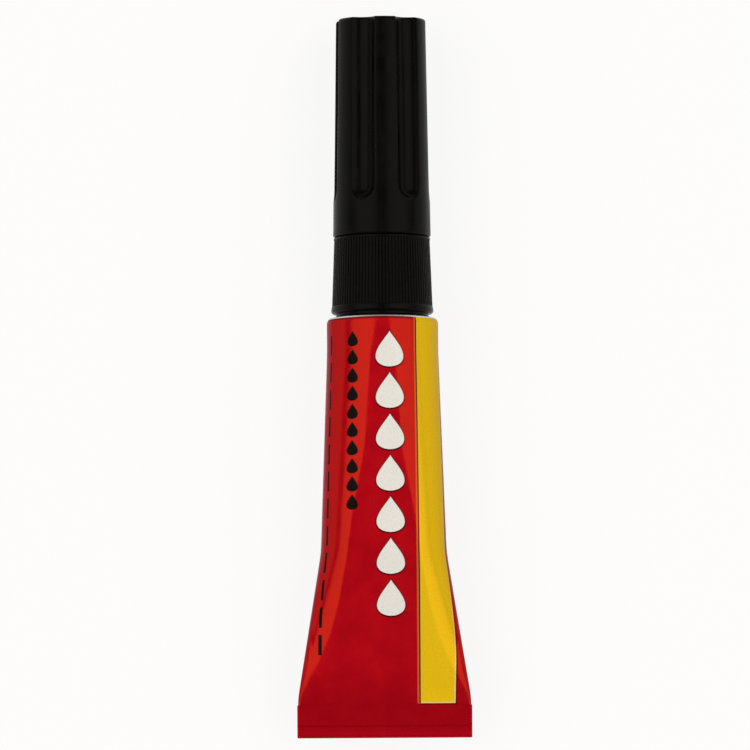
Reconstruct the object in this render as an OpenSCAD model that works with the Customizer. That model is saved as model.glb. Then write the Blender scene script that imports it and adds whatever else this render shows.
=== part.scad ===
// Super glue tube: a crimped aluminium sleeve, a screwed-on nozzle and a fluted screw cap.
// It is drawn standing on its folded tail, then laid on its back: cap to +Y, printed face to +Z.

/* [Sleeve] */
// Outside diameter of the sleeve at its round end
sleeve_d = 13.5; // [12.5:0.1:16]
// Length of the sleeve, from the edge of the tail to the rim of the shoulder
sleeve_len = 50.5; // [49:0.1:60]
// Thickness of the aluminium sheet
sleeve_wall = 0.12; // [0.1:0.01:0.16]
// Height above the tail's edge where the pinch begins
pinch_h = 22.5; // [16:0.1:30]
// Thickness through the sleeve where the pinch begins
pinch_t = 10.4; // [8:0.1:11.5]
// Height above the tail's edge from which the sleeve is round
round_h = 46.7; // [40:0.1:48]
// Length over which each bend of the sleeve is eased
bend_ease = 1; // [0.5:0.1:1.5]
// Angle to each side over which the front and the back of the sleeve are flattened above the pinch
facet_turn = 13; // [6:1:20]

/* [Tail fold] */
// Height of the folded strip
fold_h = 4; // [3:0.1:6]
// Height of the flat strip between the fold and the pinch
foot_h = 0.7; // [0.4:0.1:1.5]
// Gap between two layers of the fold
fold_gap = 0.06; // [0.04:0.01:0.1]
// Thickness of the latex film between the two walls
film_t = 0.08; // [0.06:0.01:0.12]
// Bare edge at each end of the latex film
film_edge = 0.3; // [0.2:0.1:0.6]

/* [Glue] */
// Height of the glue's surface above the tube's axis, with the tube on its back
glue_rise = 1; // [0.4:0.1:3]
// Gap between the glue and what holds it
glue_gap = 0.05; // [0.03:0.01:0.1]

/* [Shoulder and neck] */
// Rise of the shoulder from its rim to the neck
shoulder_rise = 0.8; // [0.6:0.05:0.9]
// Thickness of the shoulder
shoulder_t = 0.5; // [0.4:0.05:0.7]
// Depth to which the shoulder runs down inside the sleeve's wall
rim_lap = 0.4; // [0.3:0.05:0.6]
// Rounding of the shoulder's rim
rim_round = 0.45; // [0.3:0.05:0.5]
// Diameter of the neck over its thread
neck_d = 8; // [7:0.1:8.6]
// Bore of the neck
neck_bore_d = 5.2; // [4:0.1:5.6]
// Height of the neck above the shoulder
neck_h = 7.2; // [6:0.1:7.8]
// Thickness of the membrane across the neck's mouth
membrane_t = 0.12; // [0.1:0.01:0.2]

/* [Nozzle] */
// Gap from the shoulder's rim up to the collar
collar_gap = 1; // [0.95:0.05:2]
// Height of the collar
collar_h = 9.3; // [9:0.1:12]
// Diameter of the collar at its lip
collar_base_d = 12.4; // [12:0.1:13.4]
// Amount by which the collar narrows to its top
collar_narrowing = 0.7; // [0.3:0.1:1]
// Number of grip ribs round the collar
rib_n = 90; // [60:2:110]
// Depth of the valleys between the ribs
rib_depth = 0.16; // [0.1:0.02:0.24]
// Depth of the ribs' crests below the lip and the crown
rib_inset = 0.06; // [0.04:0.01:0.12]
// Height of the smooth lip at the foot of the collar
lip_h = 0.9; // [0.7:0.1:1.4]
// Rounding of the lip
lip_round = 0.4; // [0.2:0.05:0.5]
// Height of the smooth band at the top of the collar
crown_h = 0.3; // [0.2:0.05:0.6]
// Diameter of the threaded boss that takes the cap
boss_d = 7.2; // [6.6:0.1:7.4]
// Height of the threaded boss
boss_h = 5; // [4:0.1:6]
// Diameter of the spout where it leaves the boss
spout_base_d = 5.6; // [4.6:0.1:6]
// Diameter of the spout at its tip
spout_tip_d = 2.2; // [1.9:0.1:2.5]
// Diameter of the outlet in the tip
outlet_d = 1; // [0.9:0.05:1.2]
// Length of the straight outlet below the tip
outlet_len = 6; // [5.4:0.1:8]
// Diameter of the channel at the foot of the spout
channel_d = 3; // [2:0.1:3.4]
// Diameter of the piercing spike
spike_d = 2.4; // [2:0.1:2.8]
// Bore of the piercing spike
spike_bore_d = 1.4; // [1:0.1:1.6]
// Length of the piercing spike below the deck
spike_len = 3; // [2:0.1:4.5]

/* [Cap] */
// Height of the cap
cap_h = 26.5; // [24:0.1:32]
// Amount by which the cap's mouth is wider than the collar's top
cap_overhang = 0.15; // [0:0.05:0.4]
// Amount by which the cap narrows to its top
cap_narrowing = 0.8; // [0.4:0.1:1]
// Rounding of the cap's top edge
cap_round = 0.4; // [0.2:0.05:0.6]
// Bevel of the cap's bottom edge
cap_bevel = 0.15; // [0.1:0.05:0.3]
// Number of flutes round the cap
flute_n = 6; // [4:1:8]
// Width of a flute at the surface
flute_w = 3.4; // [2.4:0.1:3.6]
// Depth of a flute
flute_depth = 1; // [0.6:0.05:1.1]
// Height of the smooth band below the flutes
flute_foot = 4.2; // [3:0.1:6]
// Turn of the flutes about the axis
flute_turn = 6; // [0:1:60]
// Wall left behind a flute
cap_wall = 0.95; // [0.7:0.05:1.05]
// Thickness of the cap's roof
roof_t = 1.8; // [1.4:0.1:2.4]
// Diameter of the boss that holds the pin
pin_boss_d = 2.6; // [2:0.1:3]
// Height of the boss that holds the pin
pin_boss_h = 1.5; // [1:0.1:2]

/* [Pin] */
// Diameter of the steel pin
pin_d = 0.7; // [0.5:0.05:0.75]
// Length of the pin that the cap holds
pin_grip = 2.3; // [1.6:0.1:2.6]
// Length of the pin's point
pin_point = 0.8; // [0.4:0.1:1.2]
// Depth to which the pin reaches into the outlet
pin_reach = 4.5; // [3:0.1:5]

/* [Clearances] */
// Gap between a threaded boss and the thread round it
thread_gap = 0.15; // [0.1:0.01:0.25]
// Gap between parts that are screwed up to each other
seat_gap = 0.3; // [0.2:0.05:0.5]
// Gap between the cap's mouth and the collar
mouth_gap = 0.1; // [0.05:0.01:0.2]
// Gap between the spike and the membrane that it has pierced
pierce_gap = 0.2; // [0.1:0.05:0.4]
// Gap between the pin and its socket
pin_gap = 0.02; // [0.01:0.01:0.05]

/* [Hidden] */
$fn = 96;
overrun = 1;
side_n = 32;
turn_n = 10;
round_n = 5;

sleeve_r = sleeve_d / 2;
neck_r = neck_d / 2;
layer_t = 2 * sleeve_wall + film_t;
layer_step = layer_t + fold_gap;
foot_z = fold_h + foot_h;
floor_z = foot_z + bend_ease;
half_side = 90 / side_n;
rim_r = sleeve_r - sleeve_wall / 2;
shoulder_z = sleeve_len + shoulder_rise;
neck_top = shoulder_z + neck_h;
collar_z = sleeve_len + collar_gap;
collar_top = collar_z + collar_h;
deck_z = neck_top + seat_gap;
boss_top = collar_top + boss_h;
cap_z = collar_top + mouth_gap;
cap_top = cap_z + cap_h;
roof_z = cap_top - roof_t;
pin_boss_z = roof_z - pin_boss_h;
spout_top = pin_boss_z - seat_gap;
collar_top_d = collar_base_d - collar_narrowing;
cap_base_d = collar_top_d + cap_overhang;
cap_top_d = cap_base_d - cap_narrowing;
cap_taper = atan((cap_base_d - cap_top_d) / 2 / cap_h);
core_r = collar_top_d / 2 - rib_inset - 2 * rib_depth;
flute_r = (flute_w * flute_w / 4 + flute_depth * flute_depth) / (2 * flute_depth);

// Lays the upright tube on its back, with its middle over the origin.
module lay_down() {
    translate([0, -cap_top / 2, sleeve_r]) rotate([-90, 0, 0]) children();
}

function arc(centre, r, from, to, n) =
    [for (i = [0:n]) let (a = from + (to - from) * i / n) centre + r * [cos(a), sin(a)]];

function backwards(list) = [for (i = [len(list) - 1:-1:0]) list[i]];

// Half the thickness of the sleeve at a height, straight between the bends.
function straight_half_t(z) =
    lookup(z, [[foot_z, layer_t / 2], [pinch_h, pinch_t / 2], [round_h, sleeve_r]]);

// The same, with each bend eased.
function half_t(z) =
    (straight_half_t(z - bend_ease) + 2 * straight_half_t(z) + straight_half_t(z + bend_ease)) / 4;

// The sheet keeps its length round, so a thinner section is a wider one: two half circles and two flats.
function half_flat(r) = PI * (sleeve_r - r) / 2;

// The pinch flattens the sheet a little further than the flats, up to where the sleeve is round.
function facet(z) =
    lookup(z, [[foot_z, half_side], [pinch_h, facet_turn], [round_h + bend_ease, facet_turn],
        [sleeve_len, half_side]]);

// One section of the sleeve, set in from its outside by an inset.
function section(z, r, inset) =
    [for (side = [1, -1], i = [0:side_n - 1])
        let (a = -90 * side + facet(z) + i * (180 - 2 * facet(z)) / (side_n - 1))
        [side * half_flat(r) + (r - inset) * cos(a), (r - inset) * sin(a), z]];

// Triangles between rings of n points each, with the last ring joined to the first when closed.
function wall_faces(rings, n, closed) =
    [for (i = [0:rings - (closed ? 1 : 2)], j = [0:n - 1], half = [0, 1])
        let (first = i * n, second = (i + 1) % rings * n, next = (j + 1) % n)
        half == 0 ? [first + j, second + j, second + next] : [first + j, second + next, first + next]];

function end_faces(rings, n) =
    [[for (j = [0:n - 1]) j], [for (j = [n - 1:-1:0]) (rings - 1) * n + j]];

module loft(rings, closed = false) {
    points = [for (ring = rings, p = ring) p];
    count = len(rings);
    n = len(rings[0]);
    ends = closed ? [] : end_faces(count, n);
    polyhedron(points, concat(wall_faces(count, n, closed), ends), convexity = 6);
}

// Heights of the sections above the tail's flat strip.
bend_heights = [for (z = [pinch_h, round_h], k = [-1, 0, 1]) z + k * bend_ease];

module sleeve() {
    root = section(fold_h - fold_gap, (layer_t - sleeve_wall) / 2, 0);
    outer_z = concat([fold_h, foot_z], [floor_z], bend_heights, [sleeve_len]);
    inner_z = backwards(concat([floor_z], bend_heights, [sleeve_len]));
    loft(concat([root], [for (z = outer_z) section(z, half_t(z), 0)],
        [for (z = inner_z) section(z, half_t(z), sleeve_wall)]));
}

// One side of the strip that is folded over twice, offset from the strip's middle.
function fold_side(offset, top, end) =
    let (low = layer_step + layer_t / 2, high = fold_h - (layer_t + layer_step) / 2)
    concat([[-offset, top]],
        arc([layer_step, low], layer_step + offset, 180, 360, turn_n),
        arc([layer_step * 3 / 2, high], layer_step / 2 + offset, 0, 180, turn_n),
        [[layer_step - offset, low + end]]);

// The folded strip, with a thickness and a bare edge at each end.
module folded_strip(t, edge, top) {
    outline = concat(fold_side(t / 2, top, edge), backwards(fold_side(-t / 2, top, edge)));
    rotate([90, 0, 90]) linear_extrude(PI * sleeve_r - 2 * edge, center = true) polygon(outline);
}

module shoulder_and_neck() {
    bore_r = neck_bore_d / 2;
    hole_r = spike_d / 2 + pierce_gap;
    rotate_extrude() polygon(concat(
        [[rim_r, sleeve_len - rim_lap]],
        arc([rim_r - rim_round, sleeve_len], rim_round, 0, 80, round_n),
        [[neck_r, shoulder_z], [neck_r, neck_top], [hole_r, neck_top], [hole_r, neck_top - membrane_t],
         [bore_r, neck_top - membrane_t], [bore_r, shoulder_z - shoulder_t],
         [rim_r - shoulder_t, sleeve_len - rim_lap]]));
}

module aluminium_tube() {
    color("#a90315") lay_down() difference() {
        union() {
            sleeve();
            folded_strip(layer_t, 0, foot_z);
            shoulder_and_neck();
        }
        folded_strip(film_t, film_edge, foot_z);
    }
}

module tail_sealant() {
    color("#d9cfae") lay_down() folded_strip(film_t, film_edge, foot_z);
}

// The pool of glue: the inside of the sleeve, cut level above the axis.
module glue_fill() {
    heights = concat([floor_z + glue_gap], bend_heights, [sleeve_len - rim_lap - glue_gap]);
    color("#e8e4d0") lay_down() difference() {
        loft([for (z = heights) section(z, half_t(z), sleeve_wall + glue_gap)]);
        translate([-sleeve_d, -glue_rise - sleeve_d, 0]) cube([2 * sleeve_d, sleeve_d, sleeve_len]);
    }
}

// Radius of the collar's taper at a height.
function collar_r(z) = lookup(z, [[collar_z, collar_base_d / 2], [collar_top, collar_top_d / 2]]);

// A ring of points round the axis, every second one set in by a depth.
function toothed_ring(r, depth, z) =
    [for (i = [0:2 * rib_n - 1])
        let (a = 180 * i / rib_n, p = r - depth * (i % 2))
        [p * cos(a), p * sin(a), z]];

// The ring of grip ribs, rooted in the collar.
module collar_ribs() {
    low = collar_z + lip_h - rib_depth;
    high = collar_top - crown_h + rib_depth / 2;
    root_r = core_r - rib_depth;
    loft([toothed_ring(collar_r(low) - rib_inset, rib_depth, low),
        toothed_ring(collar_r(high) - rib_inset, rib_depth, high),
        toothed_ring(root_r, 0, high), toothed_ring(root_r, 0, low)], closed = true);
}

module nozzle_outside() {
    crown_z = collar_top - crown_h;
    lip_r = collar_r(collar_z + lip_h);
    rotate_extrude() polygon(concat(
        [[0, collar_z]],
        arc([collar_base_d / 2 - lip_round, collar_z + lip_round], lip_round, -90, 0, round_n),
        [[lip_r, collar_z + lip_h], [core_r, collar_z + lip_h], [core_r, crown_z],
         [collar_r(crown_z), crown_z], [collar_r(collar_top), collar_top], [boss_d / 2, collar_top],
         [boss_d / 2, boss_top], [spout_base_d / 2, boss_top], [spout_tip_d / 2, spout_top],
         [0, spout_top]]));
}

module nozzle() {
    socket_r = neck_r + thread_gap;
    color("#141112") lay_down() difference() {
        union() {
            difference() {
                union() {
                    nozzle_outside();
                    collar_ribs();
                }
                translate([0, 0, collar_z - overrun])
                    cylinder(h = deck_z - collar_z + overrun, r = socket_r);
            }
            translate([0, 0, deck_z - spike_len])
                cylinder(h = spike_len + seat_gap, d = spike_d);
        }
        rotate_extrude() polygon([
            [0, deck_z - spike_len - overrun], [spike_bore_d / 2, deck_z - spike_len - overrun],
            [spike_bore_d / 2, collar_top], [channel_d / 2, collar_top],
            [outlet_d / 2, spout_top - outlet_len], [outlet_d / 2, spout_top + overrun],
            [0, spout_top + overrun]]);
    }
}

// Radius of the cap's taper at a height above its mouth.
function cap_r(h) = lookup(h, [[0, cap_base_d / 2], [cap_h, cap_top_d / 2]]);

// A round-ended flute that runs out through the top of the cap.
module flute() {
    foot = flute_foot + flute_w / 2;
    translate([cap_r(foot) + flute_r - flute_depth, 0, cap_z + foot]) rotate([0, -cap_taper, 0])
        rotate_extrude() {
            intersection() {
                circle(flute_r);
                translate([0, -flute_r]) square([flute_r, flute_r]);
            }
            square([flute_r, cap_h]);
        }
}

module cap_outside() {
    rotate_extrude() polygon(concat(
        [[0, cap_z], [cap_r(0) - cap_bevel, cap_z], [cap_r(cap_bevel), cap_z + cap_bevel]],
        arc([cap_r(cap_h) - cap_round, cap_top - cap_round], cap_round, 0, 90, round_n),
        [[0, cap_top]]));
}

// The hollow of the cap: a threaded mouth, then a tapered well round the boss that holds the pin.
module cap_inside() {
    mouth_r = boss_d / 2 + thread_gap;
    mouth_top = boss_top + seat_gap;
    skin = flute_depth + cap_wall;
    socket_r = pin_d / 2 + pin_gap;
    boss_r = pin_boss_d / 2;
    rotate_extrude() polygon([
        [0, cap_z - overrun], [mouth_r, cap_z - overrun], [mouth_r, mouth_top],
        [min(mouth_r, cap_r(mouth_top - cap_z) - skin), mouth_top], [cap_r(roof_z - cap_z) - skin, roof_z],
        [boss_r, roof_z], [boss_r, pin_boss_z], [socket_r, pin_boss_z],
        [socket_r, pin_boss_z + pin_grip], [0, pin_boss_z + pin_grip]]);
}

module cap() {
    color("#181514") lay_down() difference() {
        cap_outside();
        for (i = [0:flute_n - 1]) rotate(flute_turn + 360 * i / flute_n) flute();
        cap_inside();
    }
}

module cap_pin() {
    top = pin_boss_z + pin_grip - pin_gap;
    tip = spout_top - pin_reach;
    color("#b9bcc0") lay_down() rotate_extrude()
        polygon([[0, tip], [pin_d / 2, tip + pin_point], [pin_d / 2, top], [0, top]]);
}

aluminium_tube();
tail_sealant();
glue_fill();
nozzle();
cap();
cap_pin();
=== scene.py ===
import math
import bpy
from mathutils import Matrix, Vector


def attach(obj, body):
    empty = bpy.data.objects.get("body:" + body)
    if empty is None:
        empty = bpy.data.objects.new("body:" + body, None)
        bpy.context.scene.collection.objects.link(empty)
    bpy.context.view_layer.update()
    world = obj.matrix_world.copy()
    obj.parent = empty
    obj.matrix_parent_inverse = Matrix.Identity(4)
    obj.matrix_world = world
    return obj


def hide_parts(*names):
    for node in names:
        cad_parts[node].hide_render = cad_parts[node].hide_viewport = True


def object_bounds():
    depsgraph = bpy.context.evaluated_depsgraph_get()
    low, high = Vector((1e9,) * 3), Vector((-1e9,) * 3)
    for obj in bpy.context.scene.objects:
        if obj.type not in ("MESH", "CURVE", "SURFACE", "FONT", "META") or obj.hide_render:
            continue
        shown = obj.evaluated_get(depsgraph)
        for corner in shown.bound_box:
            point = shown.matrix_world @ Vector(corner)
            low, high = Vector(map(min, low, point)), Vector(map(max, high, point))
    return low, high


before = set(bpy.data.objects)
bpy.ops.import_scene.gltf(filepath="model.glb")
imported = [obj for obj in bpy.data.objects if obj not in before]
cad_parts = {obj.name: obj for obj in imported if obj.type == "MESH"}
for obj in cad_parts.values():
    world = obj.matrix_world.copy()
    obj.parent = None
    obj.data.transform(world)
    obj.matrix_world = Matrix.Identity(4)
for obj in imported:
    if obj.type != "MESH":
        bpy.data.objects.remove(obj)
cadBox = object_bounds()
scene = bpy.context.scene
mm = 0.001

# The tube is worked out standing on its tail, in mm: across, back (away from the printed face) and
# height above the tail's edge. It lies on its back in the frame, cap to +Y, printed face up.
layout = {"halfLength": 43.7, "axisHeight": 6.75}


def place(across, back, height):
    return Vector((across, height - layout["halfLength"], layout["axisHeight"] - back)) * mm


def linear(hexColour):
    channels = [int(hexColour[i:i + 2], 16) / 255 for i in (1, 3, 5)]
    return (*[c / 12.92 if c <= 0.04045 else ((c + 0.055) / 1.055) ** 2.4 for c in channels], 1)


def between(value, stops):
    # straight lines between (place, amount) stops, level beyond the ends
    if value <= stops[0][0]:
        return stops[0][1]
    for (a, low), (b, high) in zip(stops, stops[1:]):
        if value <= b:
            return low + (high - low) * (value - a) / (b - a)
    return stops[-1][1]


def softMin(a, b, blend):
    meet = max(blend - abs(a - b), 0) / blend
    return min(a, b) - meet * meet * blend / 4


def spread(first, last, count):
    return [first + (last - first) * i / count for i in range(count + 1)]


def turn(middle, radius, start, end, count):
    return [(middle[0] + radius * math.cos(a), middle[1] + radius * math.sin(a))
            for a in spread(math.radians(start), math.radians(end), count)]


def addNode(tree, kind, settings=None, inputs=None):
    node = tree.nodes.new(kind)
    for name, value in (settings or {}).items():
        setattr(node, name, value)
    for name, value in (inputs or {}).items():
        if isinstance(value, bpy.types.NodeSocket):
            tree.links.new(value, node.inputs[name])
        else:
            node.inputs[name].default_value = value
    return node


def mathNode(tree, operation, first, second=0.0, clamp=False):
    return addNode(tree, "ShaderNodeMath", {"operation": operation, "use_clamp": clamp}, {
        0: first, 1: second}).outputs[0]


def rangeNode(tree, value, fromMin, fromMax, toMin=0.0, toMax=1.0, kind="LINEAR"):
    return addNode(tree, "ShaderNodeMapRange", {"interpolation_type": kind}, {
        "Value": value, "From Min": fromMin, "From Max": fromMax, "To Min": toMin, "To Max": toMax}).outputs[0]


def mixColour(tree, share, low, high):
    return addNode(tree, "ShaderNodeMix", {"data_type": "RGBA"}, {0: share, 6: low, 7: high}).outputs[2]


def mixNumber(tree, share, low, high):
    return addNode(tree, "ShaderNodeMix", {"data_type": "FLOAT"}, {0: share, 2: low, 3: high}).outputs[0]


# Noise with features of a size, in the unit of the coordinates that it reads.
def noiseNode(tree, where, size, detail, rough=0.5, flat=False):
    return addNode(tree, "ShaderNodeTexNoise", {"noise_dimensions": "2D" if flat else "3D"}, {
        "Vector": where, "Scale": 1 / size, "Detail": detail, "Roughness": rough}).outputs[0]


def bumpNode(tree, height, strength, depth):
    return addNode(tree, "ShaderNodeBump", None, {
        "Strength": strength, "Distance": depth * mm, "Height": height}).outputs[0]


def newMaterial(name):
    material = bpy.data.materials.new(name)
    material.use_nodes = True
    tree = material.node_tree
    return material, tree, tree.nodes["Principled BSDF"]


def meshObject(name, mesh, material):
    mesh.materials.clear()
    mesh.materials.append(material)
    piece = bpy.data.objects.new(name, mesh)
    scene.collection.objects.link(piece)
    return piece


# Rings of points joined to one closed skin. The last ring meets the first, or each end is closed at
# its middle.
def skinRings(name, rings, material, loop=False, sheet=None, crease=38):
    count, columns = len(rings), len(rings[0])
    points = [p for ring in rings for p in ring]
    faces, corners = [], []
    for i in range(count if loop else count - 1):
        k = (i + 1) % count
        for j in range(columns):
            n = (j + 1) % columns
            faces.append((i * columns + j, i * columns + n, k * columns + n, k * columns + j))
            corners += [(i, j), (i, j + 1), (k, j + 1), (k, j)]
    if not loop:
        for i, flip in ((0, True), (count - 1, False)):
            middle = len(points)
            points.append(sum(rings[i], Vector()) / columns)
            for j in range(columns):
                edge = (j + 1, j) if flip else (j, j + 1)
                faces.append((i * columns + edge[0] % columns, i * columns + edge[1] % columns, middle))
                corners += [(i, edge[0]), (i, edge[1]), (i, columns // 2)]
    mesh = bpy.data.meshes.new(name)
    mesh.from_pydata(points, [], faces)
    if sheet:
        layer = mesh.uv_layers.new(name="sheet")
        layer.data.foreach_set("uv", [c for i, j in corners for c in sheet(i, j)])
    mesh.shade_smooth()
    mesh.set_sharp_from_angle(angle=math.radians(crease))
    return meshObject(name, mesh, material)


def roundRing(radius, height, columns):
    return [place(radius * math.cos(a), radius * math.sin(a), height)
            for a in (2 * math.pi * j / columns for j in range(columns))]


# Lacquer print on aluminium
# Translucent lacquers rolled on an extruded aluminium sleeve and stoved: under the red the metal
# gleams through in orange, the yellow, white and black lie flat and nearly opaque. Places and widths
# are in mm on the flat sheet; the fringe is the stripe's pale rim and the trap the dark line beyond it.
printLook = {
    # the darker red over the tail and its fold is painted shade, not a crimped ink
    "red": "#c4021c", "redDeep": "#b80219", "paintedFoldShade": "#a50217", "paintedTurnHighlight": "#b5031a",
    "yellow": "#f2c919", "yellowPale": "#f2df8e", "orangeFringe": "#d5601c", "redFringe": "#6d0710",
    "white": "#eeeeea", "black": "#15100e", "outline": "#5a0710",
    "bare": "#d9dadb", "gleam": "#cb3c0d", "graze": "#3a0a0c",
    "edge": 0.05, "far": 40.0, "sleeveTop": 50.72, "border": 0.2,
    # the turn sizes place a painted highlight: a lighter red along the fold's bottom turn
    "foldShadeTop": 6.2, "foldShadeSoft": 3.0, "turnHighlightTop": 0.75, "turnHighlightSoft": 0.45,
    "stripeFrom": 4.4, "stripeTo": 8.35, "stripeFoot": 4.3, "stripeLean": 0.022,
    "fringe": 0.14, "trap": 0.2, "innerDark": 0.224, "innerOrange": 0.42, "outlineWidth": 0.2,
    "bigDrops": {"across": 0.85, "top": 49.3, "pitch": 5.0, "count": 7, "halfHeight": 2.2, "halfWidth": 2.5},
    "smallDrops": {
        "across": -3.85, "top": 49.2, "pitch": 2.2, "count": 10, "halfHeight": 0.98, "halfWidth": 1.15},
    "dashAcross": -7.8, "dashHalf": 0.22, "dashFrom": 9.9, "dashTo": 48.7, "dashPitch": 3.3, "dashGap": 0.8,
    "rubSize": 0.9, "rubFrom": 0.66, "rubFull": 0.7, "rubLow": -0.3, "rubHigh": 0.1, "rubSoft": 0.1,
    "mottleSize": 3.0, "grainSize": 0.25, "noiseLow": 0.3, "noiseHigh": 0.7,
    "grainDark": 0.93, "grainStrength": 0.12, "grainDepth": 0.02, "gloss": 0.02,
    "lacquerMetal": 0.2, "inkMetal": 0.03, "lacquerSmooth": 0.16, "lacquerRough": 0.26, "bareRough": 0.34,
}


# Ink between two places on the sheet, with an edge as soft as the print's.
def inkBand(tree, along, first, last, edge):
    gap = mathNode(tree, "ABSOLUTE", mathNode(tree, "SUBTRACT", along, (first + last) / 2))
    half = abs(last - first) / 2
    return rangeNode(tree, gap, half + edge, half - edge, kind="SMOOTHSTEP")


def inkPatch(tree, across, height, sides, ends, edge):
    return mathNode(tree, "MULTIPLY", inkBand(tree, across, *sides, edge), inkBand(tree, height, *ends, edge))


# A patch with a straight inner side and an outer side that leans.
def inkStripe(tree, across, outer, height, first, last, ends, edge):
    far = printLook["far"]
    inner = inkPatch(tree, across, height, (first, last + far), ends, edge)
    return mathNode(tree, "MULTIPLY", inner, inkBand(tree, outer, first - far, last, edge))


# A column of drops with the point up. At p, from -1 to 1 up a drop, the half width goes as
# the root of (1 - p^2)((1 - p) / 2)^1.5.
def inkDrops(tree, across, height, drops, grow, edge):
    foot = drops["top"] - drops["count"] * drops["pitch"]
    within = mathNode(tree, "MODULO", mathNode(tree, "SUBTRACT", height, foot), drops["pitch"])
    fromMiddle = mathNode(tree, "SUBTRACT", within, drops["pitch"] / 2)
    p = mathNode(tree, "DIVIDE", fromMiddle, drops["halfHeight"] + grow)
    bulge = mathNode(tree, "SUBTRACT", 1, mathNode(tree, "MULTIPLY", p, p), clamp=True)
    left = mathNode(tree, "MULTIPLY", mathNode(tree, "SUBTRACT", 1, p), 0.5, clamp=True)
    body = mathNode(tree, "MULTIPLY", bulge, mathNode(tree, "POWER", left, 1.5))
    wide = mathNode(tree, "MULTIPLY", mathNode(tree, "SQRT", body), drops["halfWidth"] + grow)
    gap = mathNode(tree, "ABSOLUTE", mathNode(tree, "SUBTRACT", across, drops["across"]))
    inside = mathNode(tree, "SUBTRACT", wide, gap)
    drop = rangeNode(tree, inside, 0, 2 * edge, kind="SMOOTHSTEP")
    return mathNode(tree, "MULTIPLY", drop, inkBand(tree, height, foot, drops["top"], edge))


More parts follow.
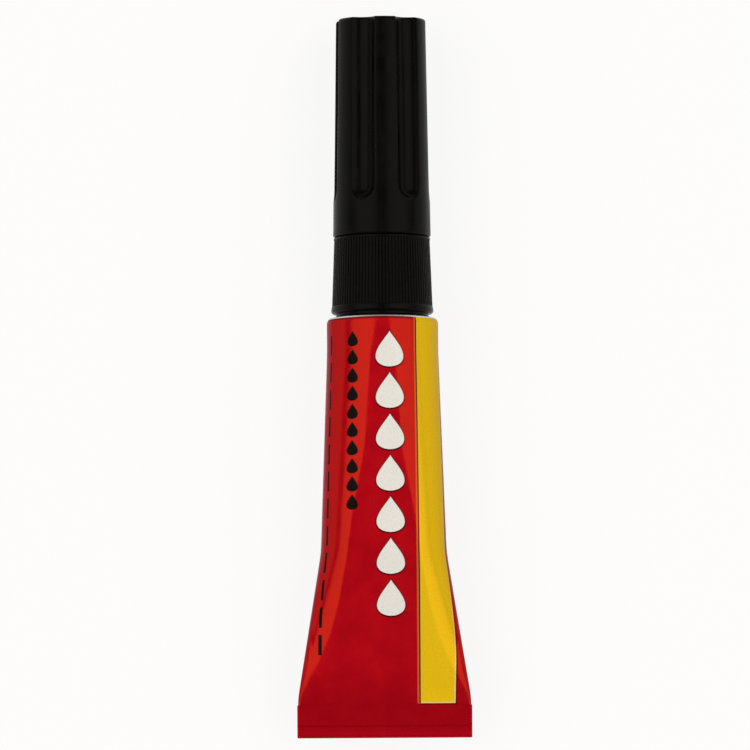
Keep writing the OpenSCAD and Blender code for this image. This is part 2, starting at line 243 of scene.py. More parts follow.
def lacquerPrint():
    look = printLook
    material, tree, shader = newMaterial("lacquerPrintOnAluminium")
    sheet = addNode(tree, "ShaderNodeUVMap", {"uv_map": "sheet"}).outputs[0]
    split = addNode(tree, "ShaderNodeSeparateXYZ", None, {0: sheet})
    across, height = split.outputs[0], split.outputs[1]
    low, high = look["noiseLow"], look["noiseHigh"]
    mottle = noiseNode(tree, sheet, look["mottleSize"], detail=3, rough=0.6, flat=True)
    grain = noiseNode(tree, sheet, look["grainSize"], detail=2, flat=True)
    colour = mixColour(tree, rangeNode(tree, mottle, low, high), linear(look["redDeep"]), linear(look["red"]))

    edge, fringe, first, last = look["edge"], look["fringe"], look["stripeFrom"], look["stripeTo"]
    trap, top, beyond = look["trap"], look["sleeveTop"], look["sleeveTop"] + look["far"]
    dark, orange = first - look["innerDark"], first - look["innerOrange"]
    run, ends, trapped = [(look["stripeFoot"] - wide, beyond) for wide in (0, fringe, fringe + trap)]
    # the stripe widens a little towards the shoulder, on its outer side
    outer = mathNode(tree, "ADD", across, mathNode(tree, "MULTIPLY", height, -look["stripeLean"]))
    sides = (look["dashAcross"] - look["dashHalf"], look["dashAcross"] + look["dashHalf"])
    column = inkPatch(tree, across, height, sides, (look["dashFrom"], look["dashTo"]), edge)
    along = mathNode(tree, "MODULO", height, look["dashPitch"])
    dash = inkBand(tree, along, edge, look["dashPitch"] - look["dashGap"], edge)
    foldShadeEnd = look["foldShadeTop"]

    def stripe(start, end, reach):
        return inkStripe(tree, across, outer, height, start, end, reach, edge)

    def drops(name, grow):
        return inkDrops(tree, across, height, look[name], grow, edge)

    # where an ink lies, which it is and how far it hides the metal, from the bottom up; the two lowest layers
    # are no ink but painted shade over the tail and a painted highlight on its bottom turn
    layers = (
        # painted shade: the red is painted darker over the tail and its fold, in place of the shade there
        (inkBand(tree, height, foldShadeEnd - look["far"], foldShadeEnd, look["foldShadeSoft"]), "paintedFoldShade", 0.2),
        # painted highlight: a lighter red along the fold's bottom turn, in place of the light its rounded edge
        # catches
        (inkBand(tree, height, -look["turnHighlightTop"], look["turnHighlightTop"], look["turnHighlightSoft"]), "paintedTurnHighlight", 0.2),
        (inkBand(tree, height, top - look["border"], beyond, edge), "redFringe", 0.4),
        (inkPatch(tree, across, height, (orange, first), ends, edge), "orangeFringe", 0.4),
        (stripe(first, last + fringe + trap, trapped), "redFringe", 0.4),
        (stripe(dark, last + fringe, ends), "yellowPale", 0.6),
        (inkPatch(tree, across, height, (dark, first), ends, edge), "redFringe", 0.4),
        (stripe(first, last, run), "yellow", 0.5),
        (drops("bigDrops", look["outlineWidth"]), "outline", 0.5),
        (drops("bigDrops", 0), "white", 1),
        (drops("smallDrops", 0), "black", 1),
        (mathNode(tree, "MULTIPLY", column, dash), "black", 1),
    )
    opaque = 0
    for mask, ink, hiding in layers:
        colour = mixColour(tree, mask, colour, linear(look[ink]))
        opaque = mixNumber(tree, mask, opaque, hiding)

    # the lacquer is rubbed off in specks along the bottom turn of the fold, and stops short of the rim
    rub = noiseNode(tree, sheet, look["rubSize"], detail=5, rough=0.7, flat=True)
    specks = rangeNode(tree, rub, look["rubFrom"], look["rubFull"])
    turned = inkBand(tree, height, look["rubLow"], look["rubHigh"], look["rubSoft"])
    worn = mathNode(tree, "MULTIPLY", specks, turned)
    bare = mathNode(tree, "MAXIMUM", worn, rangeNode(tree, height, top - edge, top + edge))
    gleam = mixColour(tree, opaque, linear(look["gleam"]), colour)
    gleam = mixColour(tree, bare, gleam, linear(look["bare"]))
    # light that grazes goes a long way through the lacquer and comes back dark
    graze = mixColour(tree, bare, linear(look["graze"]), linear(look["bare"]))
    grained = rangeNode(tree, grain, low, high, look["grainDark"], 1)
    colour = addNode(tree, "ShaderNodeVectorMath", {"operation": "SCALE"}, {
        0: colour, "Scale": grained}).outputs[0]
    shining = rangeNode(tree, opaque, 0, 1, look["lacquerMetal"], look["inkMetal"])
    metal = mathNode(tree, "MAXIMUM", shining, bare)
    smooth = rangeNode(tree, mottle, low, high, look["lacquerSmooth"], look["lacquerRough"])
    rough = mixNumber(tree, bare, smooth, look["bareRough"])
    bump = bumpNode(tree, grain, look["grainStrength"], look["grainDepth"])
    for name, source in (("Base Color", colour), ("Roughness", rough), ("Normal", bump)):
        tree.links.new(source, shader.inputs[name])
    shader.inputs["Specular IOR Level"].default_value = look["gloss"]
    under = addNode(tree, "ShaderNodeBsdfPrincipled", None, {
        "Base Color": gleam, "Metallic": 1, "Roughness": rough, "Specular Tint": graze, "Normal": bump})
    mixed = addNode(tree, "ShaderNodeMixShader", None, {0: metal, 1: shader.outputs[0], 2: under.outputs[0]})
    tree.links.new(mixed.outputs[0], tree.nodes["Material Output"].inputs["Surface"])
    return material


# Tube of aluminium sheet, one skin from the raw edge inside the fold to the floor of the inside.
# Sizes in mm, turns in degrees; the tables give a height and the amount there, or steps in and down.
tube = {
    "radius": 6.75, "length": 50.5, "wall": 0.12, "ease": 1.0, "columns": 300, "sideCrowding": 0.75,
    "pinchHeight": 22.5, "pinchThick": 10.4, "pinchReach": 2.0, "roundHeight": 46.7, "floor": 5.7,
    "facetTurn": 13.0, "leastTurn": 2.8, "foldHeight": 4.0, "footHeight": 4.7, "layer": 0.32,
    "layerStep": 0.38, "foldLip": 0.06, "crimp": 1.42, "crimpDepth": 0.09, "crimpHalf": 0.12,
    "creases": ((5.2, 10.0), (8.3, 8.3), (12.2, 6.6), (16, 5.6), (21, 4.7), (26.7, 3.9), (35, 2.3),
                (46.7, 1.45), (50.5, 0.33)),
    "creaseTurns": ((4.7, 4), (8, 14), (22.5, 19), (35, 15), (46.7, 12), (50.5, 2.8)), "creaseSoft": 0.05,
    "skinOverGlue": 0.12, "glueRise": 1.06, "clearSoft": 0.25,
    "dent": 0.02, "dentReach": ((6, 0), (12, 1), (36, 1), (48, 0)),
    "rippleAlong": 0.55, "rippleStart": 1.3, "rippleRound": 3, "rippleDrift": 0.11,
    "tailRings": 34, "pinchRings": 14, "sleeveRings": 44, "insideRings": 24, "rimFoot": 0.2,
    "rimTurn": ((0.01, 0.1), (0.03, 0.03)), "rimRadius": 6.69, "rimRound": 0.45, "rimBend": 80,
    "rimLap": 0.4, "lapStep": 0.05,
    "shoulderTop": 51.3, "shoulderThick": 0.5, "neckTurn": ((-0.6, 0.09), (-0.15, 0.02), (0, -0.15)),
    "neckFoot": 1.0, "neckTop": 58.5, "neckRoot": 3.62, "neckBore": 2.6, "neckBevel": 0.25, "neckOnSheet": 70.0,
    "pierced": 1.4, "piercedRound": 0.25, "piercedDip": 0.04, "membrane": 0.12,
}


def halfThick(height):
    stops = [(tube["footHeight"], tube["layer"] / 2), (tube["pinchHeight"], tube["pinchThick"] / 2),
             (tube["roundHeight"], tube["radius"])]
    ease = tube["ease"]
    return (between(height - ease, stops) + 2 * between(height, stops) + between(height + ease, stops)) / 4


def facetAngle(height):
    return math.radians(between(height, [
        (tube["footHeight"], tube["leastTurn"]), (tube["pinchHeight"], tube["facetTurn"]),
        (tube["roundHeight"] + tube["ease"], tube["facetTurn"]), (tube["length"], tube["leastTurn"])]))


def sheetColumns():
    steps = spread(-1, 1, tube["columns"])
    return [t + tube["sideCrowding"] * math.sin(2 * math.pi * t) / (2 * math.pi) for t in steps]


# A point of the sheet's ring: two half circles and two flats of a constant girth, the back flattened
# where it lies.
def sheetRing(share, thick, flat, facet=0.0, inset=0.0):
    half = 2 * flat + math.pi * thick
    walk, side = abs(share) * half, math.copysign(1, share)
    if walk <= flat:
        across, back = walk, -(thick - inset)
    elif walk < flat + math.pi * thick:
        angle = (walk - flat) / thick
        across = flat + (thick - inset) * math.sin(angle)
        back = -(thick - inset) * math.cos(angle)
    else:
        across, back = half - walk, thick - inset
    if facet > 0:
        back = softMin(back, (thick - inset) * math.cos(facet), tube["creaseSoft"])
    return side * across, back


# The same on the sleeve, where a flat front ends in two creases and rounds off beyond them.
def sleeveRing(share, height, inset=0.0):
    thick = halfThick(height)
    flat = math.pi * (tube["radius"] - thick) / 2
    across, back = sheetRing(share, thick, flat, facetAngle(height), inset)
    if back >= 0:
        return across, back
    wide = flat + thick - inset
    bend = math.radians(between(height, tube["creaseTurns"]))
    crease = between(height, tube["creases"])
    middle = max((crease - wide * math.sin(bend)) / (1 - math.sin(bend)), 0)
    deep = (thick - inset) * min(math.cos(bend), math.cos(facetAngle(height)))
    reach = max(abs(across) - middle, 0) / (wide - middle)
    side = deep / math.cos(bend) * math.sqrt(max(1 - reach * reach, 0))
    pressed = softMin(deep, side, min(tube["creaseSoft"], deep / 4))
    if not inset:
        clear = softMin(-back - tube["skinOverGlue"], tube["glueRise"], tube["clearSoft"])
        pressed = -softMin(-pressed, -clear, tube["clearSoft"])
    return across, -max(pressed, 0)


# The middle line of the folded tail: from the raw edge up the inner layer, down the back one and
# round the bottom turn to the front.
def foldPath():
    step, layer = tube["layerStep"], tube["layer"]
    low, high = step + layer / 2, tube["foldHeight"] - (layer + step) / 2
    path = [(step, h) for h in spread(low, high, 4)[:-1]]
    path += turn((1.5 * step, high), step / 2, 180, 0, 10)
    path += [(2 * step, h) for h in spread(high, low, 6)[1:-1]]
    path += turn((step, low), step, 360, 180, 16)
    crimp = spread(tube["crimp"] - tube["crimpHalf"], tube["crimp"] + tube["crimpHalf"], 4)
    heights = crimp + spread(low, tube["foldHeight"] - tube["foldLip"], 6)[1:]
    return path + [(0, h) for h in sorted(heights)]


def tubeRings():
    t, half = tube, tube["layer"] / 2
    shares = sheetColumns()[:-1]
    rings, heights = [], []
    path = foldPath()
    lengths = [0]
    for a, b in zip(path, path[1:]):
        lengths.append(lengths[-1] + math.dist(a, b))
    for i, (back, height) in enumerate(path):
        ahead, behind = path[min(i + 1, len(path) - 1)], path[max(i - 1, 0)]
        along = Vector((ahead[0] - behind[0], ahead[1] - behind[1])).normalized()
        pressed = max(1 - abs(height - t["crimp"]) / t["crimpHalf"], 0) if back == 0 else 0
        ring = []
        for share in shares:
            across, deep = sheetRing(share, half, math.pi * t["radius"] / 2 - half)
            if deep < 0:
                deep += t["crimpDepth"] * pressed
            ring.append(place(across, back + deep * along.y, height - deep * along.x))
        rings.append(ring)
        heights.append(height if back == 0 else path[-1][1] - (lengths[-1] - lengths[i]))
    top, pinch, reach = t["length"], t["pinchHeight"], t["pinchReach"]
    rise = spread(t["foldHeight"], pinch - reach, t["tailRings"])
    rise += spread(pinch - reach, pinch + reach, t["pinchRings"])[1:]
    rise += spread(pinch + reach, top - t["rimFoot"], t["sleeveRings"])[1:]
    for height in rise:
        dent = t["dent"] / t["radius"] * between(height, t["dentReach"])
        wave = math.sin(t["rippleAlong"] * height + t["rippleStart"])
        ring = []
        for share in shares:
            across, back = sleeveRing(share, height)
            ripple = wave * math.cos(math.pi * share * t["rippleRound"] + t["rippleDrift"] * height)
            ring.append(place(across, back * (1 - dent * (1 + ripple)), height))
        rings.append(ring)
        heights.append(height)
    rim, neck, bore, pierced = t["rimRadius"], t["neckRoot"], t["neckBore"], t["pierced"]
    shoulder, mouth, bevel = t["shoulderTop"], t["neckTop"], t["neckBevel"]
    profile = [(t["radius"] - inward, top - down) for inward, down in t["rimTurn"]]
    profile += turn((rim - t["rimRound"], top), t["rimRound"], 0, t["rimBend"], 6)
    profile += [(neck - inward, shoulder - down) for inward, down in t["neckTurn"]]
    profile += [(neck, h) for h in spread(shoulder + t["neckFoot"], mouth - bevel, 3)]
    profile += [(neck - bevel, mouth), (bore, mouth), (pierced + t["piercedRound"], mouth),
                (pierced, mouth - t["piercedDip"]), (pierced, mouth - t["membrane"]),
                (bore, mouth - t["membrane"]), (bore, shoulder - t["shoulderThick"]),
                (rim - t["shoulderThick"], top - t["rimLap"])]
    walked, last = heights[-1], (t["radius"], rise[-1])
    for radius, height in profile:
        walked, last = walked + math.dist(last, (radius, height)), (radius, height)
        rings.append([place(*sheetRing(share, radius, 0), height) for share in shares])
        heights.append(walked)
    inside = [top - t["rimLap"] - t["lapStep"]] + spread(t["roundHeight"], t["floor"], t["insideRings"])
    for height in inside:
        rings.append([place(*sleeveRing(share, height, t["wall"]), height) for share in shares])
        heights.append(walked + top - height)
    return rings, heights


lacquer = lacquerPrint()
tubeSkin, tubeHeights = tubeRings()
tubeShares = sheetColumns()
printedTube = skinRings("printedTube", tubeSkin, lacquer, sheet=lambda i, j: (
    tubeShares[j] * math.pi * tube["radius"], tubeHeights[i]))
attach(printedTube, "tube")
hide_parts("aluminium_tube")
print("tube:", len(printedTube.data.polygons), "faces")


# Black polypropylene
# Moulded in a spark-eroded tool and dyed through: a satin black with a fine even grain, clouded and
# streaked a little by the melt. Sizes in mm.
plastic = {
    "cloudSize": 4.0, "streakWide": 0.5, "streakShare": 0.4, "noiseLow": 0.35, "noiseHigh": 0.65,
    "smoother": 0.06, "rougher": 0.08, "grainStrength": 0.25, "grainDepth": 0.03, "ior": 1.49, "gloss": 0.055,
}


def mouldedBlack(name, dark, pale, rough, grainSize, streakLong):
    look, wide = plastic, plastic["streakWide"]
    material, tree, shader = newMaterial(name)
    where = addNode(tree, "ShaderNodeTexCoord").outputs["Object"]
    inMm = addNode(tree, "ShaderNodeVectorMath", {"operation": "SCALE"}, {0: where, "Scale": 1 / mm}).outputs[0]
    cloud = noiseNode(tree, inMm, look["cloudSize"], detail=4, rough=0.6)
    # melt streaks run along the moulding
    drawn = addNode(tree, "ShaderNodeMapping", None, {
        "Vector": inMm, "Scale": (1 / wide, 1 / streakLong, 1 / wide)}).outputs[0]
    mixed = mixNumber(tree, look["streakShare"], cloud, noiseNode(tree, drawn, 1, detail=2))
    low, high = look["noiseLow"], look["noiseHigh"]
    colour = mixColour(tree, rangeNode(tree, mixed, low, high), linear(dark), linear(pale))
    dull = rangeNode(tree, mixed, low, high, rough - look["smoother"], rough + look["rougher"])
    grain = noiseNode(tree, inMm, grainSize, detail=2)
    bump = bumpNode(tree, grain, look["grainStrength"], look["grainDepth"])
    for socket, source in (("Base Color", colour), ("Roughness", dull), ("Normal", bump)):
        tree.links.new(source, shader.inputs[socket])
    shader.inputs["IOR"].default_value = look["ior"]
    shader.inputs["Specular IOR Level"].default_value = look["gloss"]
    return material


nozzleBlack = mouldedBlack(
    "mouldedPolypropyleneNozzle", "#060404", "#0d0a0a", rough=0.28, grainSize=0.22, streakLong=8)
capBlack = mouldedBlack(
    "mouldedPolypropyleneCap", "#040303", "#0b0908", rough=0.3, grainSize=0.28, streakLong=12)

# Nozzle: ribbed collar, deck, threaded boss, spout and the spike under the deck
nozzle = {
    "foot": 51.5, "top": 60.8, "footRadius": 6.2, "topRadius": 5.85, "socket": 4.15, "columns": 144,
    "skirtFoot": 51.12, "skirt": 5.6, "skirtEase": 0.1, "skirtStep": 0.2,
    "lipHeight": 0.9, "lipRound": 0.4, "lipEase": 0.14, "crown": 0.3, "crownIn": 0.03, "crownUp": 0.04,
    "crownEase": 0.08, "ribs": 90, "ribInset": 0.06, "ribDepth": 0.16,
    "rodRadius": 0.19, "rodLap": 0.1, "rodSteps": 10,
    "deck": 58.8, "bossRoot": 3.24, "bossTop": 65.8, "bossBevel": 0.3, "bossEase": 0.2,
    "spoutFoot": 2.8, "spoutTip": 1.1, "spoutTop": 83.8, "waist": 0.18, "tipRound": 0.18,
    "outlet": 0.5, "outletLength": 6.0, "outletEase": 0.06, "channel": 1.5,
    "spike": 1.2, "spikeBore": 0.7, "spikeLength": 3.0, "spikeSlant": 0.9,
}


def collarRadius(height):
    return between(height, [(nozzle["foot"], nozzle["footRadius"]), (nozzle["top"], nozzle["topRadius"])])


def nozzleProfile():
    n = nozzle
    lipTop, crownFoot, top = n["foot"] + n["lipHeight"], n["top"] - n["crown"], n["top"]
    skirt, ease, crown = n["skirt"], n["skirtEase"], collarRadius(crownFoot)
    valley = n["ribInset"] + n["ribDepth"]
    path = [(n["socket"] + n["skirtStep"], n["skirtFoot"]), (skirt - ease, n["skirtFoot"]),
            (skirt, n["skirtFoot"] + ease), (skirt, n["foot"])]
    path += turn((n["footRadius"] - n["lipRound"], n["foot"] + n["lipRound"]), n["lipRound"], -90, 0, 8)
    path += turn((collarRadius(lipTop) - n["lipEase"], lipTop - n["lipEase"]), n["lipEase"], 0, 90, 4)
    path += [(collarRadius(h) - valley, h) for h in spread(lipTop, crownFoot, 6)]
    path += [(crown - n["crownIn"], crownFoot), (crown, crownFoot + n["crownUp"]),
             (n["topRadius"], top - n["crownEase"]), (n["topRadius"] - n["crownEase"], top)]
    root, bossTop = n["bossRoot"], n["bossTop"]
    path += [(root + n["bossEase"], top), (root, top + n["bossEase"]),
             (root, bossTop - n["bossBevel"]), (root - n["bossBevel"], bossTop)]
    # the spout is drawn in a little between its ends
    tip, end = n["spoutTip"], n["spoutTop"]
    for share in spread(0, 1, 12)[:-1]:
        radius = n["spoutFoot"] + (tip - n["spoutFoot"]) * share - n["waist"] * math.sin(math.pi * share)
        path.append((radius, bossTop + (end - bossTop) * share))
    path += turn((tip - n["tipRound"], end - n["tipRound"]), n["tipRound"], 0, 90, 4)
    outlet, bore, spikeEnd = n["outlet"], n["spikeBore"], n["deck"] - n["spikeLength"]
    path += [(outlet + n["outletEase"], end), (outlet, end - n["outletEase"]),
             (outlet, end - n["outletLength"]), (n["channel"], top), (bore, top), (bore, spikeEnd),
             (n["spike"], spikeEnd + n["spikeSlant"]), (n["spike"], n["deck"]),
             (n["socket"], n["deck"]), (n["socket"], n["skirtFoot"] + n["skirtStep"])]
    return path


nozzleBody = skinRings("nozzleBody", [roundRing(r, h, nozzle["columns"]) for r, h in nozzleProfile()],
                       nozzleBlack, loop=True)
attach(nozzleBody, "nozzle")
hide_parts("nozzle")
print("nozzle:", len(nozzleBody.data.polygons), "faces")


# A named input for each size of a tree
def newTree(name, sizes):
    tree = bpy.data.node_groups.new(name, "GeometryNodeTree")
    for size, kind in sizes:
        tree.interface.new_socket(name=size, in_out="INPUT", socket_type=kind)
    tree.interface.new_socket(name="Geometry", in_out="OUTPUT", socket_type="NodeSocketGeometry")
    return tree, addNode(tree, "NodeGroupInput").outputs


# Lays what is grown about the upright axis down into the frame and gives it its finish.
def layTree(tree, grown, material):
    laid = addNode(tree, "GeometryNodeTransform", None, {
        "Geometry": grown, "Translation": place(0, 0, 0), "Rotation": (math.radians(-90), 0, 0)}).outputs[0]
    real = addNode(tree, "GeometryNodeRealizeInstances", None, {"Geometry": laid}).outputs[0]
    smooth = addNode(tree, "GeometryNodeSetShadeSmooth", None, {"Geometry": real}).outputs[0]
    done = addNode(tree, "GeometryNodeSetMaterial", None, {"Geometry": smooth, "Material": material}).outputs[0]
    addNode(tree, "NodeGroupOutput", None, {"Geometry": done})


def growPiece(name, tree, values):
    seed = bpy.data.objects.new(name + "Seed", bpy.data.meshes.new(name + "Seed"))
    scene.collection.objects.link(seed)
    modifier = seed.modifiers.new("grow", "NODES")
    modifier.node_group = tree
    for item in tree.interface.items_tree:
        if item.in_out == "INPUT":
            modifier[item.identifier] = values[item.name]
    seen = bpy.context.evaluated_depsgraph_get()
    mesh = bpy.data.meshes.new_from_object(seed.evaluated_get(seen), depsgraph=seen)
    seed.modifiers.clear()
    bpy.data.objects.remove(seed)
    mesh.name = name
    piece = meshObject(name, mesh, values["Material"])
    print(name + ":", len(mesh.polygons), "faces")
    return piece


# Grip ribs: one rod leaning with the collar, set round the axis
ribTree, rib = newTree("gripRibs", (
    ("Count", "NodeSocketInt"), ("Low Radius", "NodeSocketFloat"), ("High Radius", "NodeSocketFloat"),
    ("Low", "NodeSocketFloat"), ("High", "NodeSocketFloat"), ("Rod Radius", "NodeSocketFloat"),
    ("Material", "NodeSocketMaterial")))
ribFoot = addNode(ribTree, "ShaderNodeCombineXYZ", None, {"X": rib["Low Radius"], "Z": rib["Low"]}).outputs[0]
ribHead = addNode(ribTree, "ShaderNodeCombineXYZ", None, {"X": rib["High Radius"], "Z": rib["High"]}).outputs[0]
ribLine = addNode(ribTree, "GeometryNodeCurvePrimitiveLine", None, {
    "Start": ribFoot, "End": ribHead}).outputs[0]
ribRound = addNode(ribTree, "GeometryNodeCurvePrimitiveCircle", None, {
    "Resolution": nozzle["rodSteps"], "Radius": rib["Rod Radius"]}).outputs[0]
ribRod = addNode(ribTree, "GeometryNodeCurveToMesh", None, {
    "Curve": ribLine, "Profile Curve": ribRound, "Fill Caps": True}).outputs[0]
ribPoints = addNode(ribTree, "GeometryNodePoints", None, {"Count": rib["Count"]}).outputs[0]
ribStep = mathNode(ribTree, "DIVIDE", 2 * math.pi, rib["Count"])
ribIndex = addNode(ribTree, "GeometryNodeInputIndex").outputs[0]
ribAngle = mathNode(ribTree, "MULTIPLY", ribIndex, ribStep)
ribTurn = addNode(ribTree, "ShaderNodeCombineXYZ", None, {"Z": ribAngle}).outputs[0]
ribRing = addNode(ribTree, "GeometryNodeInstanceOnPoints", None, {
    "Points": ribPoints, "Instance": ribRod, "Rotation": ribTurn}).outputs[0]
layTree(ribTree, ribRing, rib["Material"])

ribLow = nozzle["foot"] + nozzle["lipHeight"] - nozzle["rodLap"]
ribHigh = nozzle["top"] - nozzle["crown"] + nozzle["rodLap"]
ribSunk = nozzle["ribInset"] + nozzle["rodRadius"]
collarRibs = growPiece("collarRibs", ribTree, {
    "Count": nozzle["ribs"], "Low": ribLow * mm, "High": ribHigh * mm, "Rod Radius": nozzle["rodRadius"] * mm,
    "Low Radius": (collarRadius(ribLow) - ribSunk) * mm, "High Radius": (collarRadius(ribHigh) - ribSunk) * mm,
    "Material": nozzleBlack})
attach(collarRibs, "nozzle")

# Screw threads: a round ridge that winds right-handed about the axis and runs out at both ends, over a
# share of its length and to a share of its size
threadForm = {"turnSteps": 48, "roundSteps": 10, "runOut": 0.05, "tipSize": 0.15}
threadTree, thread = newTree("screwThread", (
    ("Radius", "NodeSocketFloat"), ("Turns", "NodeSocketFloat"), ("Rise", "NodeSocketFloat"),
    ("Foot", "NodeSocketFloat"), ("Ridge", "NodeSocketFloat"), ("Run Out", "NodeSocketFloat"),
    ("Material", "NodeSocketMaterial")))
threadCoil = addNode(threadTree, "GeometryNodeCurveSpiral", None, {
    "Resolution": threadForm["turnSteps"], "Rotations": thread["Turns"], "Start Radius": thread["Radius"],
    "End Radius": thread["Radius"], "Height": thread["Rise"], "Reverse": True}).outputs[0]
threadShare = addNode(threadTree, "GeometryNodeSplineParameter").outputs["Factor"]
threadFar = mathNode(threadTree, "SUBTRACT", 1, threadShare)
threadEnd = mathNode(threadTree, "MINIMUM", threadShare, threadFar)
threadFade = rangeNode(threadTree, threadEnd, 0, thread["Run Out"], threadForm["tipSize"])
threadRound = addNode(threadTree, "GeometryNodeCurvePrimitiveCircle", None, {
    "Resolution": threadForm["roundSteps"], "Radius": thread["Ridge"]}).outputs[0]
threadRidge = addNode(threadTree, "GeometryNodeCurveToMesh", None, {
    "Curve": threadCoil, "Profile Curve": threadRound, "Scale": threadFade, "Fill Caps": True}).outputs[0]
threadLift = addNode(threadTree, "ShaderNodeCombineXYZ", None, {"Z": thread["Foot"]}).outputs[0]
threadRaised = addNode(threadTree, "GeometryNodeTransform", None, {
    "Geometry": threadRidge, "Translation": threadLift}).outputs[0]
layTree(threadTree, threadRaised, thread["Material"])

# in mm: how far out the ridge's middle runs, the ridge's own radius, the rise and where it starts
threads = {
    "neckThread": {"body": "tube", "slot": "printed_aluminium", "finish": lacquer,
                   "radius": 3.62, "ridge": 0.36, "turns": 4.0, "rise": 4.6, "foot": 53.0},
    "socketThread": {"body": "nozzle", "slot": "nozzle_plastic", "finish": nozzleBlack,
                     "radius": 4.27, "ridge": 0.22, "turns": 3.0, "rise": 3.45, "foot": 53.4},
    "bossThread": {"body": "nozzle", "slot": "nozzle_plastic", "finish": nozzleBlack,
                   "radius": 3.24, "ridge": 0.34, "turns": 2.75, "rise": 3.3, "foot": 61.6},
    "capThread": {"body": "cap", "slot": "cap_plastic", "finish": capBlack,
                  "radius": 3.86, "ridge": 0.22, "turns": 2.25, "rise": 2.7, "foot": 62.3},
}
for name, form in threads.items():
    piece = growPiece(name, threadTree, {
        "Radius": form["radius"] * mm, "Ridge": form["ridge"] * mm, "Turns": form["turns"],
        "Rise": form["rise"] * mm, "Foot": form["foot"] * mm, "Run Out": threadForm["runOut"],
        "Material": form["finish"]})
    if name == "neckThread":  # the neck is bare metal, far up the sheet
        layer = piece.data.uv_layers.new(name="sheet")
        layer.data.foreach_set("uv", [0.0, tube["neckOnSheet"]] * len(layer.data))
    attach(piece, form["body"])

# Cap with six round-ended flutes, hollow to its roof
cap = {
    "foot": 60.9, "height": 26.5, "footRadius": 5.925, "topRadius": 5.525, "topRound": 0.4, "bevel": 0.15,
    "flutes": 6, "fluteWidth": 3.4, "fluteDepth": 1.0, "fluteFoot": 4.2, "fluteTurn": 6.0, "fluteSoft": 0.22,
    "fluteLead": 0.4, "fluteRun": 2.6, "mouth": 3.75, "mouthDepth": 5.2, "mouthEase": 0.3,
    "wellTop": 3.6, "wellEase": 0.3, "roof": 85.6, "roofEase": 0.15, "pinBoss": 1.3, "pinBossFoot": 84.1,
    "pinBossEase": 0.1, "pinSocket": 0.37, "pinGrip": 2.3, "pinEase": 0.06, "topShares": (0.8, 0.55),
    "gate": 0.9, "gateDepth": 0.14, "gateEdge": 0.12, "gateDip": 0.03,
    "pip": 0.25, "pipTip": 0.16, "pipDepth": 0.04, "columns": 360,
}


def capTaper(rise):
    return between(rise, [(0, cap["footRadius"]), (cap["height"], cap["topRadius"])])


def capRadius(rise, angle):
    depth, width = cap["fluteDepth"], cap["fluteWidth"]
    cutter = (width * width / 4 + depth * depth) / (2 * depth)
    foot = cap["fluteFoot"] + width / 2
    slope = (cap["footRadius"] - cap["topRadius"]) / cap["height"]
    middle = capTaper(foot) + cutter - depth - (rise - foot) * slope
    pitch = 2 * math.pi / cap["flutes"]
    off = (angle - math.radians(cap["fluteTurn"]) + pitch / 2) % pitch - pitch / 2
    room = cutter ** 2 - max(foot - rise, 0) ** 2 - (middle * math.sin(off)) ** 2
    skin = capTaper(rise)
    return softMin(skin, middle * math.cos(off) - math.sqrt(room), cap["fluteSoft"]) if room > 0 else skin


def capRings():
    c, columns, foot = cap, cap["columns"], cap["foot"]
    angles = [2 * math.pi * j / columns for j in range(columns)]
    boss, bossFoot, roof, socket = c["pinBoss"], c["pinBossFoot"], c["roof"], c["pinSocket"]
    mouth, well = c["mouth"], c["wellTop"]
    inside = [(socket, bossFoot + c["pinGrip"]), (socket, bossFoot + c["pinEase"]),
              (socket + c["pinEase"], bossFoot), (boss - c["pinBossEase"], bossFoot),
              (boss, bossFoot + c["pinBossEase"]), (boss, roof - c["roofEase"]), (boss + c["roofEase"], roof),
              (well - c["wellEase"], roof), (well, roof - c["wellEase"]), (mouth, foot + c["mouthDepth"]),
              (mouth, foot + c["mouthEase"]), (mouth + c["mouthEase"], foot)]
    rings = [roundRing(r, h, columns) for r, h in inside]

    def outline(rise, drawn):
        return [capRadius(rise, a) - drawn for a in angles]

    def laid(radii, height):
        return [place(r * math.cos(a), r * math.sin(a), height) for r, a in zip(radii, angles)]

    lead, run = c["fluteFoot"] - c["fluteLead"], c["fluteFoot"] + c["fluteRun"]
    rises = [0] + spread(c["bevel"], lead, 5) + spread(lead, run, 18)[1:]
    rises += spread(run, c["height"] - c["topRound"], 46)[1:]
    for rise in rises:
        rings.append(laid(outline(rise, 0 if rise else c["bevel"]), foot + rise))
    # the edge rounds in to the top, which dips at the gate mark
    for bend in spread(0, math.pi / 2, 6)[1:]:
        rise = c["height"] - c["topRound"] * (1 - math.sin(bend))
        rings.append(laid(outline(rise, c["topRound"] * (1 - math.cos(bend))), foot + rise))
    top, gate = foot + c["height"], c["gate"]
    edge = outline(c["height"], c["topRound"])
    for share in c["topShares"]:
        rings.append(laid([gate + (r - gate) * share for r in edge], top))
    rings += [roundRing(r, h, columns) for r, h in (
        (gate + c["gateEdge"], top), (gate, top - c["gateDip"]), (gate - c["gateEdge"], top - c["gateDepth"]),
        (c["pip"], top - c["gateDepth"]), (c["pipTip"], top - c["pipDepth"]))]
    return rings


capShell = skinRings("capShell", capRings(), capBlack, crease=50)
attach(capShell, "cap")
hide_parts("cap")
print("cap:", len(capShell.data.polygons), "faces")


# Drawn steel wire: bright, with fine lines along it
steel = {"dark": "#a9acb0", "pale": "#cdd0d3", "lineWide": 0.06, "lineLong": 2.0, "smooth": 0.16, "rough": 0.34}


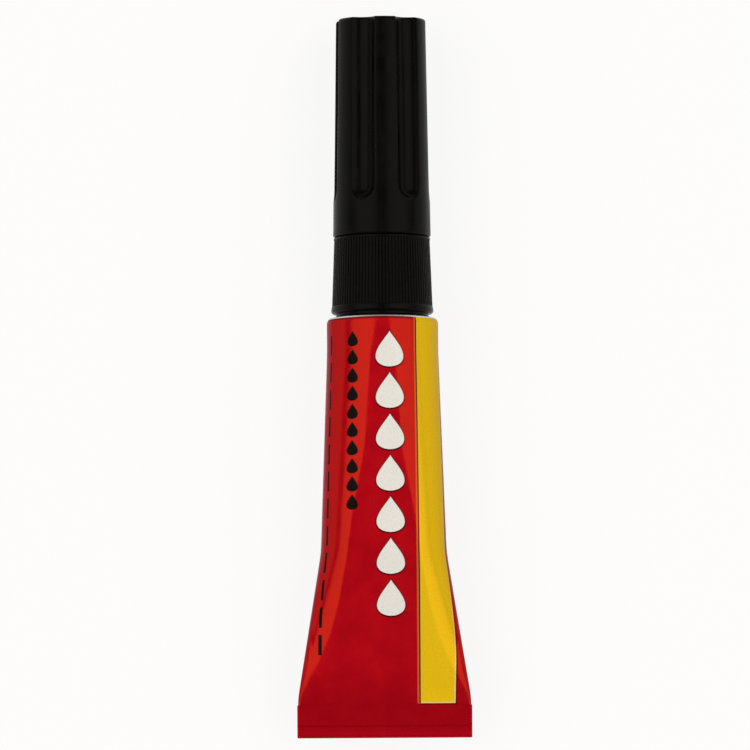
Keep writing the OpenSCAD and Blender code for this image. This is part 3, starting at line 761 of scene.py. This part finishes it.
def drawnSteel():
    material, tree, shader = newMaterial("drawnSteelWire")
    where = addNode(tree, "ShaderNodeTexCoord").outputs["Object"]
    wide, long = 1 / (steel["lineWide"] * mm), 1 / (steel["lineLong"] * mm)
    lines = addNode(tree, "ShaderNodeMapping", None, {"Vector": where, "Scale": (wide, long, wide)}).outputs[0]
    noise = noiseNode(tree, lines, 1, detail=2)
    colour = mixColour(tree, noise, linear(steel["dark"]), linear(steel["pale"]))
    tree.links.new(colour, shader.inputs["Base Color"])
    tree.links.new(rangeNode(tree, noise, 0, 1, steel["smooth"], steel["rough"]), shader.inputs["Roughness"])
    shader.inputs["Metallic"].default_value = 1
    return material


# A finish clouded softly between two colours
def cloudedFinish(name, look, detail):
    material, tree, shader = newMaterial(name)
    where = addNode(tree, "ShaderNodeTexCoord").outputs["Object"]
    noise = noiseNode(tree, where, look["cloudSize"] * mm, detail)
    colour = mixColour(tree, noise, linear(look["dark"]), linear(look["pale"]))
    tree.links.new(colour, shader.inputs["Base Color"])
    shader.inputs["Roughness"].default_value = look["rough"]
    return material, shader


# Cream latex film, dried in a thin uneven coat
latex = {"dark": "#c9bd97", "pale": "#e6dcba", "cloudSize": 0.8, "rough": 0.6}


def driedLatex():
    return cloudedFinish("driedLatexFilm", latex, detail=4)[0]


# Clear liquid adhesive, faintly straw coloured, clouded a little by fine bubbles
glue = {"dark": "#e9e4cd", "pale": "#f6f4ea", "cloudSize": 1.5, "rough": 0.05, "ior": 1.44, "clear": 0.85}


def clearGlue():
    material, shader = cloudedFinish("clearLiquidAdhesive", glue, detail=3)
    shader.inputs["IOR"].default_value = glue["ior"]
    shader.inputs["Transmission Weight"].default_value = glue["clear"]
    return material


for node, finish in (("cap_pin", drawnSteel()), ("tail_sealant", driedLatex()), ("glue_fill", clearGlue())):
    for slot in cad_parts[node].material_slots:
        slot.material = finish
print("inner pieces finished")

# Studio, in metres, degrees and watts: a pale table, a white backdrop low down, dim walls and ceiling,
# and a soft box at each side. The ceiling and the backdrop begin at a share of the way from the
# horizon to overhead.
studio = {
    "floorHalf": 3.0, "floorColour": "#8f8f8d", "floorPale": "#979795", "floorSeen": "#f4f4f2",
    "floorWhite": 0.88, "floorGrain": 0.025, "floorRough": 0.8,
    "walls": 0.1, "ceiling": 0.12, "ceilingFrom": 0.6, "ceilingFull": 0.9,
    "backdropTop": 0.16, "backdropFull": 0.1,
    "boxLean": 40.0, "boxAway": 0.8, "boxWide": 0.82, "boxLong": 1.3, "boxPower": 5.6, "boxColour": "#fff8ef",
}


# Floor and backdrop are white to the eye and in what mirrors or lets through, and put no extra light
# on the tube.
def seenRay(tree):
    path = addNode(tree, "ShaderNodeLightPath").outputs
    seen = path["Is Camera Ray"]
    for ray in ("Is Glossy Ray", "Is Transmission Ray"):
        seen = mathNode(tree, "MAXIMUM", seen, path[ray])
    return seen


def whiteTable():
    material, tree, shader = newMaterial("whiteTable")
    where = addNode(tree, "ShaderNodeTexCoord").outputs["Object"]
    noise = noiseNode(tree, where, studio["floorGrain"], detail=2)
    colour = mixColour(tree, noise, linear(studio["floorColour"]), linear(studio["floorPale"]))
    seen = seenRay(tree)
    tree.links.new(mixColour(tree, seen, colour, linear(studio["floorSeen"])), shader.inputs["Base Color"])
    shader.inputs["Roughness"].default_value = studio["floorRough"]
    shader.inputs["Specular IOR Level"].default_value = 0
    share = mathNode(tree, "MULTIPLY", seen, studio["floorWhite"])
    white = addNode(tree, "ShaderNodeEmission", None, {"Color": (1, 1, 1, 1), "Strength": 1}).outputs[0]
    mixed = addNode(tree, "ShaderNodeMixShader", None, {0: share, 1: shader.outputs[0], 2: white}).outputs[0]
    tree.links.new(mixed, tree.nodes["Material Output"].inputs["Surface"])
    return material


half, ground = studio["floorHalf"], cadBox[0].z
tableMesh = bpy.data.meshes.new("table")
tableCorners = ((-half, -half), (half, -half), (half, half), (-half, half))
tableMesh.from_pydata([(x, y, ground) for x, y in tableCorners], [], [(0, 1, 2, 3)])
meshObject("table", tableMesh, whiteTable())

world = bpy.data.worlds.new("studio")
scene.world = world
world.use_nodes = True
sky = world.node_tree
facing = addNode(sky, "ShaderNodeTexCoord").outputs["Generated"]
rising = addNode(sky, "ShaderNodeSeparateXYZ", None, {0: facing}).outputs[2]
glow = rangeNode(sky, rising, studio["ceilingFrom"], studio["ceilingFull"], studio["walls"], studio["ceiling"],
                 "SMOOTHSTEP")
backdrop = rangeNode(sky, rising, studio["backdropTop"], studio["backdropFull"], kind="SMOOTHSTEP")
strength = mixNumber(sky, mathNode(sky, "MULTIPLY", backdrop, seenRay(sky)), glow, 1)
sky.nodes["Background"].inputs["Color"].default_value = (1, 1, 1, 1)
sky.links.new(strength, sky.nodes["Background"].inputs["Strength"])

for side in (-1, 1):
    lamp = bpy.data.lights.new("softBox", "AREA")
    lamp.shape, lamp.size, lamp.size_y = "RECTANGLE", studio["boxLong"], studio["boxWide"]
    lamp.energy, lamp.color = studio["boxPower"], linear(studio["boxColour"])[:3]
    box = bpy.data.objects.new("softBox", lamp)
    lean = math.radians(studio["boxLean"]) * side
    away = Vector((math.sin(lean), 0, math.cos(lean)))
    facingIn = away.to_track_quat("Z", "Y").to_matrix().to_4x4()
    box.matrix_world = Matrix.Translation(away * studio["boxAway"]) @ facingIn
    box.visible_camera = False
    scene.collection.objects.link(box)

# Camera over the tube, a little to the tail's side, as the photograph's outline gives it. Places in mm,
# turns in degrees, clipping in metres.
camera = {
    "elevation": 85.0, "roll": -0.344, "distance": 3000.0, "aim": (-0.937, 0.42, 6.75), "frameWidth": 90.976,
    "sensor": 36.0, "clipStart": 0.05, "clipEnd": 50.0,
}
lens = bpy.data.cameras.new("camera")
lens.sensor_width = camera["sensor"]
lens.lens = lens.sensor_width * camera["distance"] / camera["frameWidth"]
lens.clip_start, lens.clip_end = camera["clipStart"], camera["clipEnd"]
eye = bpy.data.objects.new("camera", lens)
scene.collection.objects.link(eye)
climb, roll = math.radians(camera["elevation"]), math.radians(camera["roll"])
toEye = Vector((0, -math.cos(climb), math.sin(climb)))
sideways = Vector((1, 0, 0))
right = math.cos(roll) * sideways + math.sin(roll) * toEye.cross(sideways)
up = toEye.cross(right)
eye.matrix_world = Matrix.Translation((Vector(camera["aim"]) + toEye * camera["distance"]) * mm) @ Matrix(
    (right, up, toEye)).transposed().to_4x4()
scene.camera = eye
scene.view_settings.view_transform = "Standard"
print("studio and camera set")
